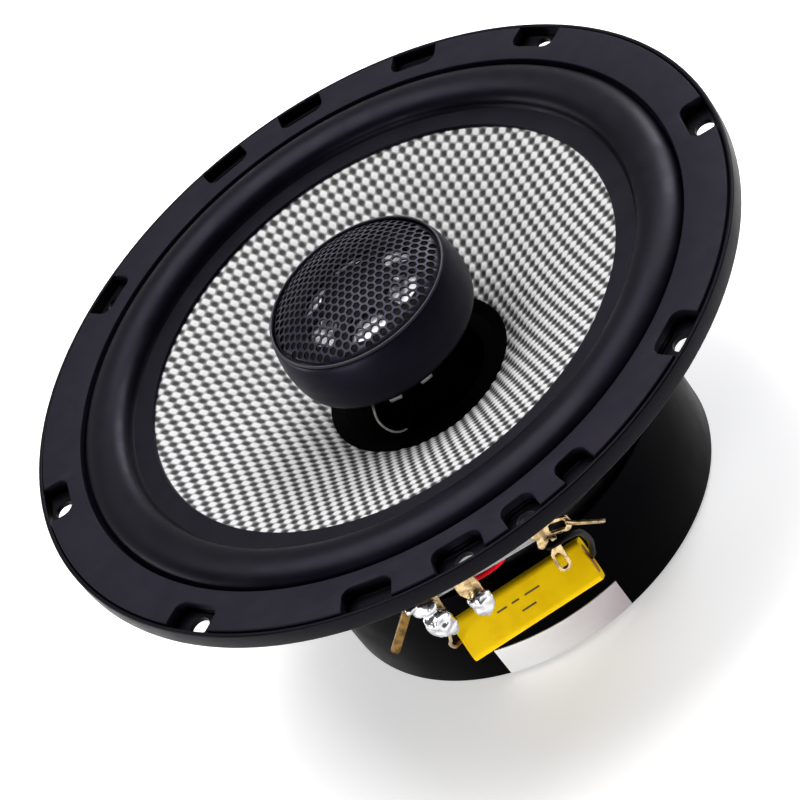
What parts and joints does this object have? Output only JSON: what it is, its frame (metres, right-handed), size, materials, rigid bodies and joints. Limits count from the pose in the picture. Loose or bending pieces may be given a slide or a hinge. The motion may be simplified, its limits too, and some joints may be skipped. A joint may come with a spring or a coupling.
{
  "type": "coaxial car speaker",
  "caption": "Round coaxial car speaker: woven cone in a rubber roll surround, post-mounted tweeter under a domed grille, pressed basket, covered magnet, terminal board with a film capacitor.",
  "frame": {"origin": "centre of the magnet cover's rear face, which the speaker stands on", "axes": "+Z along the speaker's axis, out of its front; the terminal board and the label face -Y"},
  "size_m": [0.1646, 0.1646, 0.081],
  "materials": {
    "cover_plastic": "smooth black moulded cover with a soft gloss",
    "silver_foil": "satin silver label stock",
    "plated_steel": "zinc plated, turned",
    "ferrite": "matte sintered ferrite",
    "black_basket_paint": "fine-textured black paint on pressed steel",
    "foam_gasket": "dense matte bluish-black foam",
    "glass_weave": "silver-white glass-fibre weave with dark openings",
    "black_adhesive": "glossy black adhesive",
    "surround_rubber": "soft matte butyl rubber",
    "spider_cloth": "resin-treated tan cotton cloth",
    "former_film": "amber polyimide film",
    "copper_wire": "enamelled copper",
    "tinsel_braid": "tinned braid",
    "black_nylon": "moulded black nylon",
    "zinc_plate": "bright zinc plate",
    "satin_black_plastic": "satin bluish-black plastic",
    "dark_trim": "polished dark edge",
    "grille_paint": "satin black paint on perforated steel",
    "titanium_foil": "bright formed foil",
    "bare_wire": "tinned copper wire",
    "solder": "bright, lumpy solder",
    "fibre_board": "pale pressed fibre",
    "brass": "bright, slightly tarnished",
    "yellow_film": "satin yellow wrap",
    "black_sleeve": "black insulating sleeve",
    "red_sleeve": "red insulating sleeve"
  },
  "bodies": {
    "frame": {"magnet_cover": "cover_plastic", "cover_label": "silver_foil", "yoke_and_pole": "plated_steel", "front_plate": "plated_steel", "magnet_ring": "ferrite", "basket": "black_basket_paint", "gasket_ring": "foam_gasket", "tinsel_lead_left": "tinsel_braid", "tinsel_lead_right": "tinsel_braid", "tweeter_post": "black_nylon", "post_screw": "zinc_plate", "tweeter_housing": "satin_black_plastic", "tweeter_trim_ring": "dark_trim", "tweeter_grille": "grille_paint", "tweeter_yoke": "plated_steel", "tweeter_magnet": "zinc_plate", "tweeter_pole_plate": "plated_steel", "tweeter_face_plate": "black_nylon", "tweeter_lead_left": "bare_wire", "tweeter_lead_right": "bare_wire", "tweeter_tab_left": "solder", "tweeter_tab_right": "solder", "terminal_board": "fibre_board", "board_rivet_left": "zinc_plate", "board_rivet_right": "zinc_plate", "left_terminal": "brass", "centre_terminal": "brass", "right_terminal": "brass", "solder_bead_left": "solder", "solder_bead_centre": "solder", "capacitor": "yellow_film", "capacitor_lead_left": "bare_wire", "capacitor_lead_right": "black_sleeve", "red_lead": "red_sleeve"},
    "cone_assembly": {"cone": "glass_weave", "neck_ring": "black_adhesive", "surround": "surround_rubber", "spider": "spider_cloth", "voice_coil_former": "former_film", "voice_coil_winding": "copper_wire"},
    "tweeter_dome": {"tweeter_diaphragm": "titanium_foil", "tweeter_voice_coil": "copper_wire"}
  },
  "joints": [
    {"name": "cone_travel", "type": "slide", "parent": "frame", "child": "cone_assembly", "axis": [0, 0, 1], "range_m": [-0.004, 0.004], "stiffness_N_per_m": 1000, "deforming": ["surround", "spider", "tinsel_lead_left", "tinsel_lead_right"]},
    {"name": "tweeter_dome_travel", "type": "slide", "parent": "frame", "child": "tweeter_dome", "axis": [0, 0, 1], "range_m": [-0.0003, 0.0003], "stiffness_N_per_m": 500}
  ]
}
